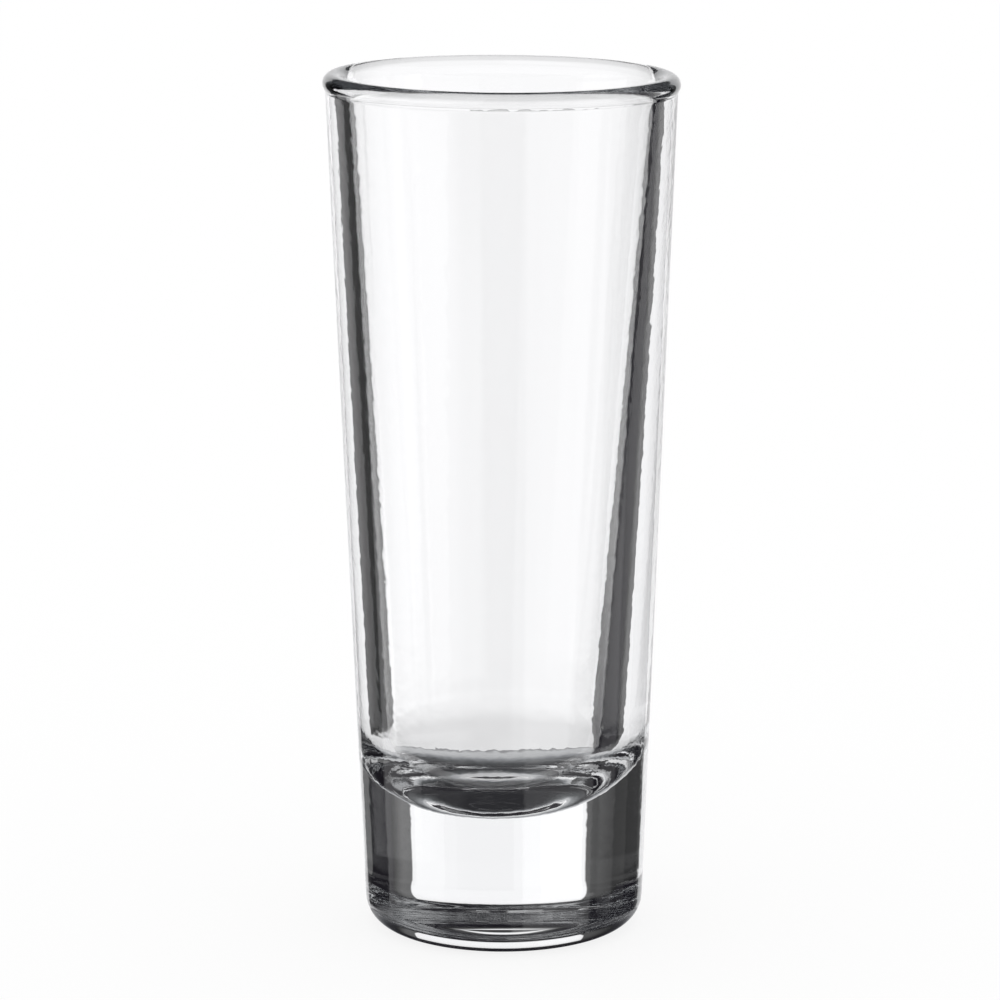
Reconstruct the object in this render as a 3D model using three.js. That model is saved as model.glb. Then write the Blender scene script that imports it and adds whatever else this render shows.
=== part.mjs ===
// A tall double shot glass: one piece of clear pressed glass with a thick solid base, a tapering bore
// and a rim melted smooth by a flame. Millimetres, +Z up. The origin is the middle of the footprint.

import * as THREE from 'three';

// Driving dimensions

const HEIGHT = 105.5; // table to the crest of the rim
const RIM_RADIUS = 21.5; // widest point of the glass, on the outside of the rim
const RIM_BULGE = 0.2; // how far the rim swells out past the line of the wall
const RIM_ROUND = 1.5; // rounding of the outer half of the rim
const NECK_ROUND = 2; // hollow where the rim runs into the outer wall
const FOOT_RADIUS = 17; // line of the outer wall, carried down to the table
const HEEL_ROUND = 3.7; // rounding between the outer wall and the underside
const BASE_THICKNESS = 15.4; // table to the lowest point of the bore
const WALL_AT_RIM = 2.9; // thickness of the wall at the height of the rim
const WALL_AT_FLOOR = 5.25; // thickness of the wall where its lines meet the level of the bore's floor
const FLOOR_ROUND = 10.5; // round bowl between the inner wall and the middle of the floor
const RING_WIDTH = 2; // flat ring that the glass stands on
const DISH_DEPTH = 0.8; // hollow of the underside, inside that ring

// Fineness of the facets

const FACETS_AROUND = 72;
const STEPS_PER_ROUNDING = 8;

// The outline is drawn as radius across and height up: x is the radius, y the height.
// The outer wall runs straight from wallFoot to wallTop, and the inner wall from boreFloor to boreTop.

const wallFoot = new THREE.Vector2(FOOT_RADIUS, 0);
const wallTop = new THREE.Vector2(RIM_RADIUS - RIM_BULGE, HEIGHT);
const wallAtFloor = wallFoot.clone().lerp(wallTop, BASE_THICKNESS / HEIGHT);
const boreTop = new THREE.Vector2(wallTop.x - WALL_AT_RIM, HEIGHT);
const boreFloor = new THREE.Vector2(wallAtFloor.x - WALL_AT_FLOOR, BASE_THICKNESS);
const floorMiddle = new THREE.Vector2(0, BASE_THICKNESS);
const footMiddle = new THREE.Vector2(0, 0);

// Points along an arc, clockwise where the angle falls.
function arc(centre, radius, from, to) {
  const curve = new THREE.EllipseCurve(centre.x, centre.y, radius, radius, from, to, to < from);
  return curve.getPoints(STEPS_PER_ROUNDING);
}

// The unit vector square to a straight wall, pointing away from the axis.
function outwardNormal(low, high) {
  const along = high.clone().sub(low).normalize();
  return new THREE.Vector2(along.y, -along.x);
}

// The arc that rounds a corner and touches the straight runs before and after it.
function roundedCorner(before, corner, after, radius) {
  const back = before.clone().sub(corner).normalize();
  const onward = after.clone().sub(corner).normalize();
  const halfAngle = Math.acos(back.dot(onward)) / 2;
  const bisector = back.clone().add(onward).normalize();
  const centre = corner.clone().addScaledVector(bisector, radius / Math.sin(halfAngle));
  const run = radius / Math.tan(halfAngle);
  const start = corner.clone().addScaledVector(back, run).sub(centre);
  const turn = Math.PI - 2 * halfAngle;
  const turnsLeft = back.cross(onward) < 0;
  const from = start.angle();
  return arc(centre, radius, from, turnsLeft ? from + turn : from - turn);
}

// The hollow underside: a shallow cap of a large sphere, from the axis to the inside of the ring.
function underside(ringInside) {
  const sphere = (ringInside ** 2 + DISH_DEPTH ** 2) / (2 * DISH_DEPTH);
  const centre = new THREE.Vector2(0, DISH_DEPTH - sphere);
  const edge = Math.atan2(sphere - DISH_DEPTH, ringInside);
  const [, ...cap] = arc(centre, sphere, Math.PI / 2, edge);
  return [new THREE.Vector2(0, DISH_DEPTH), ...cap];
}

// The rim: a small hollow off the outer wall, the outer rounding up to the crest, then a rounding
// over to the inside that touches the inner wall.
function rim() {
  const outward = outwardNormal(wallFoot, wallTop);
  const upWall = wallTop.clone().sub(wallFoot).normalize();
  const outerCentre = new THREE.Vector2(RIM_RADIUS - RIM_ROUND, HEIGHT - RIM_ROUND);
  const toWall = wallTop.clone().sub(outerCentre).dot(outward);
  const reach = toWall + NECK_ROUND;
  const drop = Math.sqrt((RIM_ROUND + NECK_ROUND) ** 2 - reach ** 2);
  const neckCentre = outerCentre.clone().addScaledVector(outward, reach).addScaledVector(upWall, -drop);
  const towardNeck = neckCentre.clone().sub(outerCentre);
  const neckFrom = outward.clone().negate().angle();
  const neckTo = towardNeck.clone().negate().angle();

  const intoGlass = outwardNormal(boreFloor, boreTop);
  const innerRound = (outerCentre.x - boreTop.x) * intoGlass.x / (1 + intoGlass.y);
  const innerCentre = new THREE.Vector2(outerCentre.x, HEIGHT - innerRound);
  const [, ...inside] = arc(innerCentre, innerRound, Math.PI / 2, intoGlass.clone().negate().angle());

  const [, ...outside] = arc(outerCentre, RIM_ROUND, towardNeck.angle() - 2 * Math.PI, Math.PI / 2);
  return [...arc(neckCentre, NECK_ROUND, neckFrom, neckTo), ...outside, ...inside];
}

// The whole outline, from the middle of the underside round the outside to the floor of the bore.
const heel = roundedCorner(footMiddle, wallFoot, wallTop, HEEL_ROUND);
const outline = [
  ...underside(heel[0].x - RING_WIDTH),
  ...heel,
  ...rim(),
  ...roundedCorner(boreTop, boreFloor, floorMiddle, FLOOR_ROUND),
  floorMiddle,
];

// Clear soda-lime glass, with the faint cool tint that the thick base shows.
const clearGlass = new THREE.MeshStandardMaterial({
  color: 0xeef3f1,
  roughness: 0.03,
  metalness: 0,
  transparent: true,
  opacity: 0.35,
});

const geometry = new THREE.LatheGeometry(outline, FACETS_AROUND);
geometry.rotateX(Math.PI / 2);
const glassBody = new THREE.Mesh(geometry, clearGlass);
glassBody.name = 'glass_body';

const shotGlass = new THREE.Group();
shotGlass.add(glassBody);

export default shotGlass;
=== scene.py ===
# %% [markdown]
# A tall double shot glass is one piece of clear pressed glass: a gob of molten glass is dropped in a mould
# and a plunger pushes the hollow into it. What the eye reads is not a colour but the way the thick wall, the
# solid base and the round rim bend the light behind them. So this lesson spends its care on three things:
# a true outline, a plain glass material, and a studio that gives the glass something to bend.
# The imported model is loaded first. It is the frame, and its box gives the height and the width of the glass.

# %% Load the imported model
from math import asin, atan2, cos, degrees, radians, sin, tan, tau

import bmesh
import bpy
from mathutils import Euler, Matrix, Vector


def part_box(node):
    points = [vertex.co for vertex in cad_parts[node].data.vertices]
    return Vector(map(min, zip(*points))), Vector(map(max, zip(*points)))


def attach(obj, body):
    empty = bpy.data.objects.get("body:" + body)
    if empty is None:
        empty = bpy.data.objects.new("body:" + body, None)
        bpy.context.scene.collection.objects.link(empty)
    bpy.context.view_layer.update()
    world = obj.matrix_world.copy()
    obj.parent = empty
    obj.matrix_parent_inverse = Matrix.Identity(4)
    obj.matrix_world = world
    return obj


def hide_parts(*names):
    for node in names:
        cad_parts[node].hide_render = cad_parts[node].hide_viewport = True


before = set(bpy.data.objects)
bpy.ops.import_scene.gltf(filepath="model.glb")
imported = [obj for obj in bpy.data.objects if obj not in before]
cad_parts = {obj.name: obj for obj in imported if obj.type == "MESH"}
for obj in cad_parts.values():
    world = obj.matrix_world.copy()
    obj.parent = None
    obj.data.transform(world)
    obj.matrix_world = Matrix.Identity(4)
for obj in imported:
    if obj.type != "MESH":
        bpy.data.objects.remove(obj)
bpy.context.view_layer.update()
lowest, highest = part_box("glass_body")
MM = 0.001
HEIGHT = highest.z
RIM_RADIUS = highest.x
print("glass", round(HEIGHT / MM, 1), "mm high and", round(2 * RIM_RADIUS / MM, 1), "mm across the rim")

# %% [markdown]
# The sizes below are those of the section, as if the glass were sawn down the middle. The outer wall leans
# outwards from a narrow foot. The bore tapers more than the wall, so the wall grows thicker downwards and
# ends in a round bowl over a solid base. The rim is a soft roll that stands a little proud of the wall,
# with a neck below it and a shoulder above the neck. Sizes that the frame already gives are worked out from
# it, and only the thicknesses, the roundings and the drops below the top of the rim are written here.

# %% Sizes of the section
FOOT_RADIUS = 17 * MM
RIM_BULGE = 0.25 * MM
WALL_AT_RIM = 2.7 * MM
WALL_AT_FLOOR = 4.93 * MM
BASE_THICKNESS = 15.4 * MM
DISH_DEPTH = 0.8 * MM
RING_WIDTH = 2 * MM
HEEL_ROUND = 3.7 * MM
BOWL_ROUND = 10.5 * MM
RIM_ROUND_OUTSIDE = 1.2 * MM
RIM_ROUND_INSIDE = 1.75 * MM
NECK_ROUND = 0.8 * MM
SHOULDER_ROUND = 0.8 * MM
NECK_DROP = 2.2 * MM
SHOULDER_DROP = 1.4 * MM


def wall_radius(height):
    """Radius of the straight outer wall at a height above the table."""
    return FOOT_RADIUS + (RIM_RADIUS - RIM_BULGE - FOOT_RADIUS) * height / HEIGHT


bore_at_rim = wall_radius(HEIGHT) - WALL_AT_RIM
bore_at_floor = wall_radius(BASE_THICKNESS) - WALL_AT_FLOOR
print("bore radius at the rim is", round(bore_at_rim / MM, 2), "mm")
print("bore radius at the floor is", round(bore_at_floor / MM, 2), "mm")

# %% [markdown]
# A round glass can be drawn as one outline and turned about its axis, as on a lathe. The outline could be
# hundreds of worked-out points, but it is easier to read and to change as the few corners a draughtsman
# would mark, with each corner rounded afterwards. Only the underside needs more: it is hollowed like a
# shallow dish, so that the glass stands on a ring and not on its whole base. That dish is an arc, made by
# spinning its middle point about the centre of a large sphere.

# %% Corners of the outline
DISH_STEPS = 12
outline = bmesh.new()
wall_lean = atan2(wall_radius(HEIGHT) - FOOT_RADIUS, HEIGHT)
heel_reach = HEEL_ROUND / tan((tau / 4 + wall_lean) / 2)
ring_inside = FOOT_RADIUS - heel_reach - RING_WIDTH
dish_sphere = (ring_inside ** 2 + DISH_DEPTH ** 2) / (2 * DISH_DEPTH)

middle_below = outline.verts.new((0, 0, DISH_DEPTH))
dish = bmesh.ops.spin(
    outline,
    geom=[middle_below],
    cent=(0, 0, DISH_DEPTH - dish_sphere),
    axis=(0, 1, 0),
    angle=asin(ring_inside / dish_sphere),
    steps=DISH_STEPS,
)
ring_edge = dish["geom_last"][0]

neck_height = HEIGHT - NECK_DROP
heel = outline.verts.new((FOOT_RADIUS, 0, 0))
neck = outline.verts.new((wall_radius(neck_height), 0, neck_height))
shoulder = outline.verts.new((RIM_RADIUS, 0, HEIGHT - SHOULDER_DROP))
rim_outside = outline.verts.new((RIM_RADIUS, 0, HEIGHT))
rim_inside = outline.verts.new((bore_at_rim, 0, HEIGHT))
bowl = outline.verts.new((bore_at_floor, 0, BASE_THICKNESS))
middle_above = outline.verts.new((0, 0, BASE_THICKNESS))

corners = [ring_edge, heel, neck, shoulder, rim_outside, rim_inside, bowl, middle_above]
for before, after in zip(corners, corners[1:]):
    outline.edges.new((before, after))
print("outline starts with", len(outline.verts), "points")

# %% [markdown]
# Molten glass has no sharp corners. The heel and the bowl take the mould's and the plunger's roundings, and
# the rim is melted round by a flame. A vertex bevel with a profile of 0.5 puts an arc on each corner, and
# the length it takes off each edge follows from the radius and the angle of the corner. The long straight
# runs are then cut into short steps: smooth shading spreads a corner's slant along the whole next face, so
# a face as long as the wall would bend the light where the real wall is straight.

# %% Round the corners
ARC_STEPS = 14
BOWL_STEPS = 28
STRAIGHT_STEP = 1.5 * MM


def round_corner(corner, radius, steps):
    """Rounds one corner of the outline to a radius."""
    before, after = [edge.other_vert(corner).co - corner.co for edge in corner.link_edges]
    reach = radius / tan(before.angle(after) / 2)
    bmesh.ops.bevel(
        outline,
        geom=[corner],
        offset=reach,
        offset_type="OFFSET",
        affect="VERTICES",
        segments=steps,
        profile=0.5,
        material=-1,
    )


round_corner(heel, HEEL_ROUND, ARC_STEPS)
round_corner(neck, NECK_ROUND, ARC_STEPS // 2)
round_corner(shoulder, SHOULDER_ROUND, ARC_STEPS // 2)
round_corner(rim_outside, RIM_ROUND_OUTSIDE, ARC_STEPS)
round_corner(rim_inside, RIM_ROUND_INSIDE, ARC_STEPS)
round_corner(bowl, BOWL_ROUND, BOWL_STEPS)

for edge in [edge for edge in outline.edges if edge.calc_length() > STRAIGHT_STEP]:
    bmesh.ops.subdivide_edges(outline, edges=[edge], cuts=int(edge.calc_length() / STRAIGHT_STEP))
print("rounded outline has", len(outline.verts), "points")

# %% [markdown]
# One full spin turns the outline into the glass. The two points on the axis are copied once for every step,
# so doubles are merged to close the poles. A spin can leave a mesh inside out, and glass that is inside out
# bends the light the wrong way, so the normals are worked out again on the closed shell.

# %% Spin the outline
STEPS_AROUND = 320
SAME_PLACE = 0.001 * MM
bmesh.ops.spin(
    outline,
    geom=outline.verts[:] + outline.edges[:],
    cent=(0, 0, 0),
    axis=(0, 0, 1),
    angle=tau,
    steps=STEPS_AROUND,
    use_merge=True,
)
bmesh.ops.remove_doubles(outline, verts=outline.verts[:], dist=SAME_PLACE)
bmesh.ops.recalc_face_normals(outline, faces=outline.faces[:])
open_edges = [edge for edge in outline.edges if len(edge.link_faces) != 2]
print("spun glass has", len(outline.faces), "faces and", len(open_edges), "open edges")

# %% [markdown]
# A plunger never comes down quite straight. On this glass the bore leans a little to one side, so one wall
# is thicker than the other towards the base. It is a small drift, but the dark edges that the glass shows
# follow it. The bore could be spun about a tilted axis, but then its rim would no longer meet the outer
# one. A shear held still at the rim's height moves only the points of the bore, and leaves the outside
# round. The bore's points are told from the outside's by a line drawn in the section, through the thick of
# the glass: level across the middle of the base, then rising inside the wall to the crest of the rim.

# %% Let the bore drift
BORE_DRIFT = 0.0095
LINE_RISE = 0.9


def in_bore(vert):
    """True for the points inside the crest of the rim and above the line through the thick of the glass."""
    crest = RIM_RADIUS - RIM_ROUND_OUTSIDE
    outwards = max(0, vert.co.xy.length - bore_at_floor) / (crest - bore_at_floor)
    line = BASE_THICKNESS / 2 + LINE_RISE * (HEIGHT - BASE_THICKNESS) * outwards
    return vert.co.xy.length < crest and vert.co.z > line


bore = [vert for vert in outline.verts if in_bore(vert)]
bmesh.ops.transform(
    outline,
    matrix=Matrix.Shear("XY", 4, (BORE_DRIFT, 0)),
    space=Matrix.Translation((0, 0, -HEIGHT)),
    verts=bore,
)
print("bore has", len(bore), "points and leans", round(BORE_DRIFT * (HEIGHT - BASE_THICKNESS) / MM, 2), "mm")

# %% [markdown]
# Nor is the rim quite level: it falls a little towards one side. The points are lowered by their place
# across the glass and by their height, so the rim takes the whole of the fall and the foot stays flat on
# the table.

# %% Let the rim fall
RIM_FALL = 0.45 * MM
FALL_DIRECTION = radians(-32)
FALL_TOWARDS = Vector((cos(FALL_DIRECTION), sin(FALL_DIRECTION), 0))
for vert in outline.verts:
    across = (vert.co.dot(FALL_TOWARDS) + RIM_RADIUS) / (2 * RIM_RADIUS)
    vert.co.z -= RIM_FALL * across * vert.co.z / HEIGHT
print("rim falls by", round(RIM_FALL / MM, 2), "mm across the glass")

# %% [markdown]
# The mesh becomes an object of its own, which sits at the origin with its place in its mesh. It rides on the
# one body there is, and stands for the plain solid of the frame.

# %% Make the piece
mesh = bpy.data.meshes.new("glass")
for face in outline.faces:
    face.smooth = True
outline.to_mesh(mesh)
outline.free()
glass = bpy.data.objects.new("glass", mesh)
bpy.context.scene.collection.objects.link(glass)
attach(glass, "root")
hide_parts("glass_body")
print("piece", glass.name, "has", len(mesh.polygons), "faces")

# %% [markdown]
# Soda-lime glass is the glass of bottles and windows. Polished and clear, it bends light with an index of
# refraction of 1.52, and it shows a faint cool grey where the light runs far through it, as in the thick
# base. The tint belongs to the depth of the glass and not to its skin, so it is an absorption in the
# volume. The skin of a pressed glass is not optically flat. The mould chills it, and leaves soft ripples a
# few millimetres long with finer ones between them. They are too shallow to feel, but they make the edges
# of the light look hand drawn. Two noises of those sizes bump the surface by about a hundredth of a
# millimetre. How strong they are changes with the height: none at the heel, all of them from the base to
# the bowl, and only a share of them on the wall, which is the smoothest part.

# %% Clear pressed glass
RIPPLE_LENGTH = 5 * MM
FINE_RIPPLE_LENGTH = 1.2 * MM
RIPPLE_HEIGHT = 0.007 * MM
FINE_RIPPLE_HEIGHT = 0.014 * MM
HEEL_TOP = (6 * MM, 0)
BASE_START = (12 * MM, 1)
BASE_END = (23 * MM, 1)
WALL_START = (31 * MM, 0.5)
INDEX_OF_REFRACTION = 1.52
TINT = "E4E6E8"
TINT_DENSITY = 8


def linear(code):
    """The linear colour of an sRGB hex code."""
    parts = [int(code[start:start + 2], 16) / 255 for start in (0, 2, 4)]
    curved = [part / 12.92 if part <= 0.04045 else ((part + 0.055) / 1.055) ** 2.4 for part in parts]
    return tuple(curved) + (1,)


def add_node(tree, kind, inputs, **settings):
    """Adds a node with its settings, and sets or links its inputs."""
    node = tree.nodes.new(kind)
    for name, value in settings.items():
        setattr(node, name, value)
    for name, value in inputs.items():
        if isinstance(value, bpy.types.Node):
            value = value.outputs[0]
        if isinstance(value, bpy.types.NodeSocket):
            tree.links.new(value, node.inputs[name])
        else:
            node.inputs[name].default_value = value
    return node


clear_glass = bpy.data.materials.new("clear_soda_lime_glass")
clear_glass.use_nodes = True
tree = clear_glass.node_tree
shader = tree.nodes["Principled BSDF"]
shader.inputs["Base Color"].default_value = linear("FFFFFF")
shader.inputs["Roughness"].default_value = 0
shader.inputs["IOR"].default_value = INDEX_OF_REFRACTION
shader.inputs["Transmission Weight"].default_value = 1

place = add_node(tree, "ShaderNodeTexCoord", {})
ripples = add_node(tree, "ShaderNodeTexNoise", {
    "Vector": place.outputs["Object"],
    "Scale": 1 / RIPPLE_LENGTH,
    "Detail": 1,
})
fine_ripples = add_node(tree, "ShaderNodeTexNoise", {
    "Vector": place.outputs["Object"],
    "Scale": 1 / FINE_RIPPLE_LENGTH,
    "Detail": 1,
})
height = add_node(tree, "ShaderNodeSeparateXYZ", {"Vector": place.outputs["Object"]})
share = 1
for (low, share_low), (high, share_high) in ((HEEL_TOP, BASE_START), (BASE_END, WALL_START)):
    change = add_node(tree, "ShaderNodeMapRange", {
        "Value": height.outputs["Z"],
        "From Min": low,
        "From Max": high,
        "To Min": share_low,
        "To Max": share_high,
    })
    share = add_node(tree, "ShaderNodeMath", {0: share, 1: change}, operation="MULTIPLY")
soft_bump = add_node(tree, "ShaderNodeBump", {
    "Strength": share,
    "Height": ripples.outputs[0],
    "Distance": RIPPLE_HEIGHT,
})
fine_bump = add_node(tree, "ShaderNodeBump", {
    "Strength": share,
    "Height": fine_ripples.outputs[0],
    "Distance": FINE_RIPPLE_HEIGHT,
    "Normal": soft_bump.outputs[0],
})
tree.links.new(fine_bump.outputs[0], shader.inputs["Normal"])

tint = add_node(tree, "ShaderNodeVolumeAbsorption", {
    "Color": linear(TINT),
    "Density": TINT_DENSITY,
})
tree.links.new(tint.outputs[0], tree.nodes["Material Output"].inputs["Volume"])
mesh.materials.append(clear_glass)
print("glass material has", len(tree.nodes), "nodes")

# %% [markdown]
# Glass on a white table is hard to see: whatever it bends is white too. Photographers give it edges with a
# bright field. A white panel stands behind the glass, and everything beside the panel is dark, so the wall
# bends the dark into its edges. The panel is a little brighter at its top and towards its sides, in steps,
# and dims towards its foot, and a faint glow beside it keeps the dark edges from turning black. More white
# boxes stand at the sides and in front. Some make the thin pale lines along the outline, the room in front
# and the high box light the heel and the rim, and the rest are the bright field for someone who walks round
# the glass and looks at it from the right or from behind. Each box is a patch of the sky dome, given by
# compass direction and height in degrees: direction 0 is straight behind the glass, and positive is to its
# right. Where boxes overlap, the brighter one is seen. Only rays that come off or through glass see the
# boxes. The camera and the table see a plain white dome of brightness 1.

# %% Studio dome
WHITE = linear("FBFBFC")
DARK = linear("1B191F")
PANEL = dict(direction=2.3, half_width=28.1, soft=0.5)
STEP = dict(low=-20, high=16, soft=1, soft_up=4)
BELT = dict(low=-20, high=-4)
BOXES = {
    "back panel": dict(PANEL, low=-16, high=17, light=1.06),
    "top of the panel": dict(PANEL, low=-9, high=14, soft_up=3, light=1.1),
    "low part of the panel": dict(PANEL, low=-36, high=4, soft_up=20, light=1.06),
    "foot of the panel": dict(PANEL, low=-85, high=-20, light=0.9),
    "left half of the panel": dict(STEP, direction=-13.4, half_width=11.6, light=1.1),
    "left third of the panel": dict(STEP, direction=-14.6, half_width=10.4, light=1.13),
    "left side of the panel": dict(STEP, direction=-17.2, half_width=7.8, light=1.16),
    "right third of the panel": dict(STEP, direction=21, half_width=8.4, light=1.08),
    "right side of the panel": dict(STEP, direction=23, half_width=6.4, light=1.12),
    "glow right of the panel": dict(direction=28, half_width=10, low=-60, high=18, soft=4, light=0.14),
    "glow left of the panel": dict(direction=-26, half_width=10, low=-60, high=18, soft=10, light=0.1),
    "dim wall left of the panel": dict(direction=-55, half_width=25, low=-20, high=0, soft=5, light=0.035),
    "left box": dict(BELT, direction=-90, half_width=21, soft=1.5, light=0.88),
    "upper left box": dict(direction=-92, half_width=27, low=-10, high=6, soft=1.5, light=0.88),
    "low left box": dict(direction=-47, half_width=26, low=-42, high=-20, soft=1.5, light=0.85),
    "right box": dict(BELT, direction=88, half_width=9, soft=3, light=0.7),
    "edge of the right box": dict(BELT, direction=71, half_width=9, soft=1, light=0.17),
    "left front box": dict(BELT, direction=-126, half_width=24, soft=8, light=0.6),
    "right front box": dict(direction=134, half_width=30, low=-26, high=-2, soft=2, light=0.85),
    "low front of the room": dict(BELT, direction=180, half_width=80, soft=6, light=0.2),
    "front of the room": dict(direction=180, half_width=92, low=-5, high=16, soft=4, light=0.35),
    "high box": dict(direction=-138, half_width=40, low=48, high=92, soft=8, light=0.5),
}

world = bpy.data.worlds.new("studio")
bpy.context.scene.world = world
world.use_nodes = True
tree = world.node_tree
ray = add_node(tree, "ShaderNodeTexCoord", {})
axes = add_node(tree, "ShaderNodeSeparateXYZ", {"Vector": ray.outputs["Generated"]})
turn = add_node(tree, "ShaderNodeMath", {0: axes.outputs["X"], 1: axes.outputs["Y"]}, operation="ARCTAN2")
direction = add_node(tree, "ShaderNodeMath", {0: turn}, operation="DEGREES")
rise = add_node(tree, "ShaderNodeMath", {0: axes.outputs["Z"]}, operation="ARCSINE")
slope = add_node(tree, "ShaderNodeMath", {0: rise}, operation="DEGREES")

# The two colours of a Mix node are its inputs 6 and 7, and the mixed colour is its output 2.
boxes = DARK
for box in BOXES.values():
    light = box["light"]
    middle_height = (box["low"] + box["high"]) / 2
    half_height = (box["high"] - box["low"]) / 2
    soft_up = box.get("soft_up", box["soft"])
    off_middle = add_node(tree, "ShaderNodeMath", {0: direction, 1: box["direction"]}, operation="SUBTRACT")
    aside = add_node(tree, "ShaderNodeMath", {0: off_middle, 1: 180, 2: -180}, operation="WRAP")
    above = add_node(tree, "ShaderNodeMath", {0: slope, 1: middle_height}, operation="SUBTRACT")
    for away, half, soft in ((aside, box["half_width"], box["soft"]), (above, half_height, soft_up)):
        distance = add_node(tree, "ShaderNodeMath", {0: away}, operation="ABSOLUTE")
        inside = add_node(tree, "ShaderNodeMapRange", {
            "Value": distance,
            "From Min": half - soft,
            "From Max": half + soft,
            "To Min": 1,
            "To Max": 0,
        }, interpolation_type="SMOOTHSTEP")
        light = add_node(tree, "ShaderNodeMath", {0: light, 1: inside}, operation="MULTIPLY")
    lit = add_node(tree, "ShaderNodeMix", {
        "Factor": light,
        6: linear("000000"),
        7: WHITE,
    }, data_type="RGBA", clamp_factor=False)
    boxes = add_node(tree, "ShaderNodeMix", {
        "Factor": 1,
        6: boxes,
        7: lit.outputs[2],
    }, data_type="RGBA", blend_type="LIGHTEN").outputs[2]

path = add_node(tree, "ShaderNodeLightPath", {})
from_glass = add_node(tree, "ShaderNodeMath", {
    0: path.outputs["Is Transmission Ray"],
    1: path.outputs["Is Glossy Ray"],
}, operation="MAXIMUM")
dome = add_node(tree, "ShaderNodeMix", {
    "Factor": from_glass,
    6: linear("FFFFFF"),
    7: boxes,
}, data_type="RGBA")
tree.links.new(dome.outputs[2], tree.nodes["Background"].inputs["Color"])
print("studio has", len(BOXES), "boxes")

# %% [markdown]
# The table is a white plane. A small part of its white is plain paint, lit by the dome, which takes the
# shadow of the glass. The rest glows for the camera alone, so that the table meets the white dome with no
# horizon. Looking down through the glass, the eye meets the table close by, which lies in the shade of the
# glass itself. That shade is a soft round patch, dark in the middle. It hangs below the table, where the
# flat light through the solid base passes over it, and only rays from the glass see it. A shadow cast on
# the table would be truer to life, but a patch can be given the depth and the width that look right through
# the glass.

# %% Table and shade
TABLE_SIZE = 3
TABLE_GLOW = 0.85
SHADE_RADIUS = 61.5 * MM
SHADE_DROP = 20 * MM
SHADE_SIDES = 96
SHADE_MIDDLE = (0.4, "2B2B2E")
SHADE_RINGS = ((0.57, "585A5C"), (0.7, "949699"), (0.8, "C2C3C5"), (0.94, "C6C7C9"))
SHADE_EDGE = (0.98, "9A9A9C")


def flat_piece(name, form):
    """An object that belongs to the studio and not to the glass."""
    flat = bpy.data.meshes.new(name)
    form.to_mesh(flat)
    form.free()
    obj = bpy.data.objects.new(name, flat)
    bpy.context.scene.collection.objects.link(obj)
    return obj


form = bmesh.new()
bmesh.ops.create_grid(form, x_segments=1, y_segments=1, size=TABLE_SIZE)
table = flat_piece("table", form)
table.visible_transmission = False
table.visible_glossy = False
white_table = bpy.data.materials.new("white_table")
white_table.use_nodes = True
tree = white_table.node_tree
tree.nodes.clear()
paint = add_node(tree, "ShaderNodeBsdfDiffuse", {"Color": (1 - TABLE_GLOW,) * 3 + (1,)})
path = add_node(tree, "ShaderNodeLightPath", {})
for_camera = add_node(tree, "ShaderNodeMath", {
    0: path.outputs["Is Camera Ray"],
    1: TABLE_GLOW,
}, operation="MULTIPLY")
glow = add_node(tree, "ShaderNodeEmission", {"Strength": for_camera})
both = add_node(tree, "ShaderNodeAddShader", {0: paint.outputs[0], 1: glow.outputs[0]})
add_node(tree, "ShaderNodeOutputMaterial", {"Surface": both.outputs[0]})
table.data.materials.append(white_table)

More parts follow.
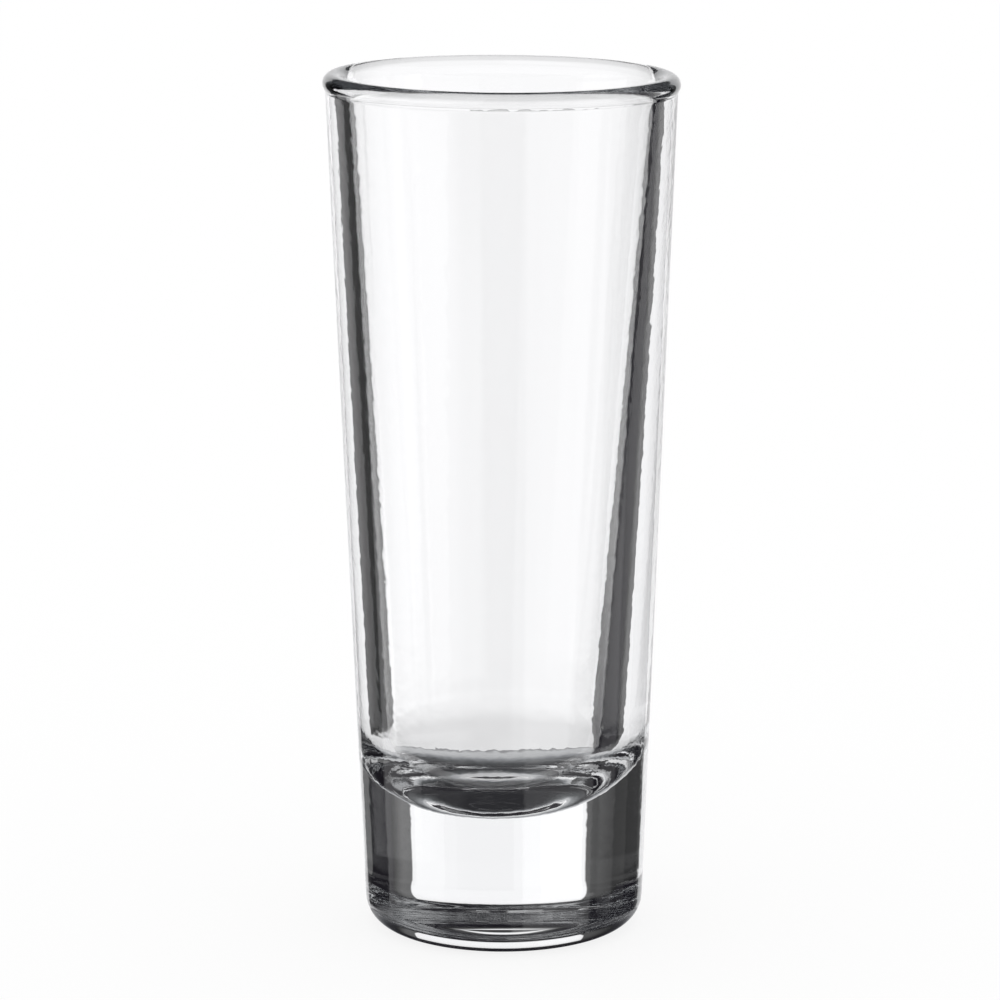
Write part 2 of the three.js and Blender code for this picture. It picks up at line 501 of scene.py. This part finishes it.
form = bmesh.new()
bmesh.ops.create_circle(form, cap_ends=True, segments=SHADE_SIDES, radius=SHADE_RADIUS)
bmesh.ops.translate(form, vec=(0, 0, -SHADE_DROP), verts=form.verts[:])
shade = flat_piece("shade", form)
shade.visible_camera = False
shade.visible_diffuse = False
shade.visible_shadow = False
shaded_table = bpy.data.materials.new("shaded_table")
shaded_table.use_nodes = True
tree = shaded_table.node_tree
tree.nodes.clear()
place = add_node(tree, "ShaderNodeTexCoord", {})
level = add_node(tree, "ShaderNodeVectorMath", {
    0: place.outputs["Object"],
    1: (1, 1, 0),
}, operation="MULTIPLY")
reach = add_node(tree, "ShaderNodeVectorMath", {0: level.outputs[0]}, operation="LENGTH")
share = add_node(tree, "ShaderNodeMath", {0: reach.outputs["Value"], 1: SHADE_RADIUS}, operation="DIVIDE")
depth = add_node(tree, "ShaderNodeValToRGB", {"Fac": share})
stops = depth.color_ramp.elements
for stop, (position, code) in zip(stops, (SHADE_MIDDLE, SHADE_EDGE)):
    stop.position = position
    stop.color = linear(code)
for position, code in SHADE_RINGS:
    stops.new(position).color = linear(code)
gloom = add_node(tree, "ShaderNodeEmission", {"Color": depth.outputs["Color"]})
add_node(tree, "ShaderNodeOutputMaterial", {"Surface": gloom.outputs[0]})
shade.data.materials.append(shaded_table)
print("table is", TABLE_SIZE * 2, "m wide, and the shade", 2 * SHADE_RADIUS / MM, "mm across")

# %% [markdown]
# The camera stands a little above the rim and looks down at the glass, about half a metre away. Its lens is
# long for that distance, so the glass fills the square picture. It leans by a hair, as the photograph does.
# A ray that enters the rim sideways runs round inside it for many turns before it leaves, so the light
# is allowed many more bounces than a plain scene needs. With few, the rim would turn black.

# %% Camera and light paths
CAMERA_DISTANCE = 538.2 * MM
CAMERA_HEIGHT = 162.6 * MM
CAMERA_ASIDE = -0.34 * MM
CAMERA_DOWN = radians(11.5)
CAMERA_LEAN = -0.003
CAMERA_LENS = 161.98
CAMERA_FILM = 36
CAMERA_NEAREST = 10 * MM
BOUNCES = 64

camera = bpy.data.objects.new("camera", bpy.data.cameras.new("camera"))
camera.data.sensor_width = CAMERA_FILM
camera.data.lens = CAMERA_LENS
camera.data.clip_start = CAMERA_NEAREST
camera.location = (CAMERA_ASIDE, -CAMERA_DISTANCE, CAMERA_HEIGHT)
tilt = Euler((tau / 4 - CAMERA_DOWN, 0, 0)).to_matrix() @ Matrix.Rotation(CAMERA_LEAN, 3, "Z")
camera.rotation_euler = tilt.to_euler()
scene = bpy.context.scene
scene.collection.objects.link(camera)
scene.camera = camera
scene.view_settings.view_transform = "Standard"
scene.cycles.max_bounces = BOUNCES
scene.cycles.transmission_bounces = BOUNCES
scene.cycles.glossy_bounces = BOUNCES
print("camera looks down by", round(degrees(CAMERA_DOWN), 1), "degrees with a", CAMERA_LENS, "mm lens")
